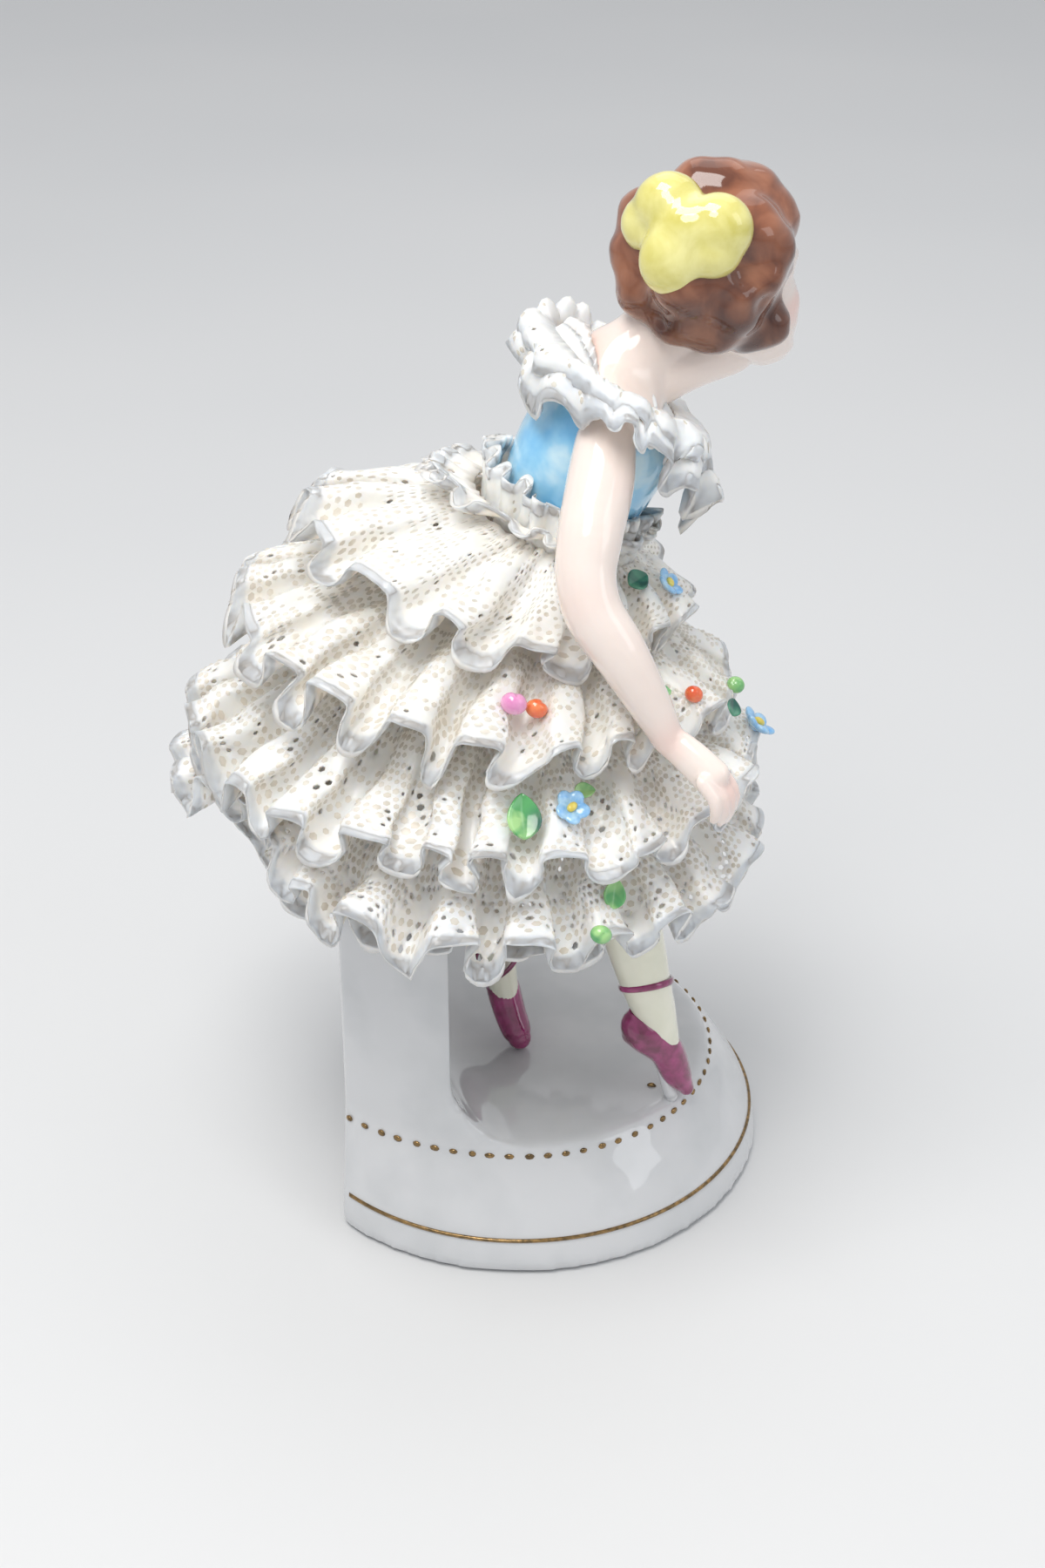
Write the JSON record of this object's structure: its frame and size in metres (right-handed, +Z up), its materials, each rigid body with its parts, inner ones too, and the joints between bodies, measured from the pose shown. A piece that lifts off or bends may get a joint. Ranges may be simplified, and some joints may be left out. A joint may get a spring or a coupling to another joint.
{
  "type": "porcelain lace figurine",
  "caption": "Glazed porcelain dancer on tiptoe in a tiered porcelain lace skirt, leaning forward on a stepped half-round base with an upright behind her legs.",
  "frame": {"origin": "centre of the base's round front, on the underside", "axes": "+X the way the dancer leans and looks, +Y to her left, +Z up"},
  "size_m": [0.0966, 0.0907, 0.1623],
  "materials": {
    "white_porcelain": "bright clear glaze over white porcelain",
    "skin_porcelain": "clear glaze over white porcelain with soft blush, painted features, hair, bodice and shoes",
    "lace_porcelain": "warm white porcelain lace, thin glaze, slightly see-through at the edges",
    "hair_brown": "painted reddish brown under a bright glaze",
    "bow_yellow": "painted lemon yellow under a bright glaze",
    "bodice_blue": "watery sky blue wash under a bright glaze",
    "shoe_plum": "painted plum under a bright glaze",
    "gold_trim": "thin brown gold line and dots",
    "flower_blue": "painted blue petals with a yellow heart, glazed",
    "bud_pink": "painted pink, glazed",
    "bud_orange": "painted orange red, glazed",
    "leaf_green": "painted fresh green, glazed",
    "leaf_dark": "painted dark blue green, glazed"
  },
  "bodies": {
    "root": {"base": "white_porcelain", "dancer": "skin_porcelain", "underskirt": "white_porcelain", "waist_frill": "lace_porcelain", "flounce_1": "lace_porcelain", "flounce_2": "lace_porcelain", "flounce_3": "lace_porcelain", "flounce_4": "lace_porcelain", "flounce_5": "lace_porcelain", "collar_ruffle": "lace_porcelain", "bud_1": "bud_pink", "bud_2": "bud_orange", "bud_3": "leaf_green", "bud_4": "bud_orange", "bud_5": "leaf_green", "bud_6": "bud_pink", "bud_7": "bud_orange", "flower_1": "flower_blue", "flower_2": "flower_blue", "flower_3": "flower_blue", "flower_4": "flower_blue", "flower_5": "flower_blue", "leaf_1": "leaf_green", "leaf_2": "leaf_green", "leaf_3": "leaf_green", "leaf_4": "leaf_dark", "leaf_5": "leaf_green", "leaf_6": "leaf_dark", "leaf_7": "leaf_green", "leaf_8": "leaf_dark"}
  },
  "joints": []
}
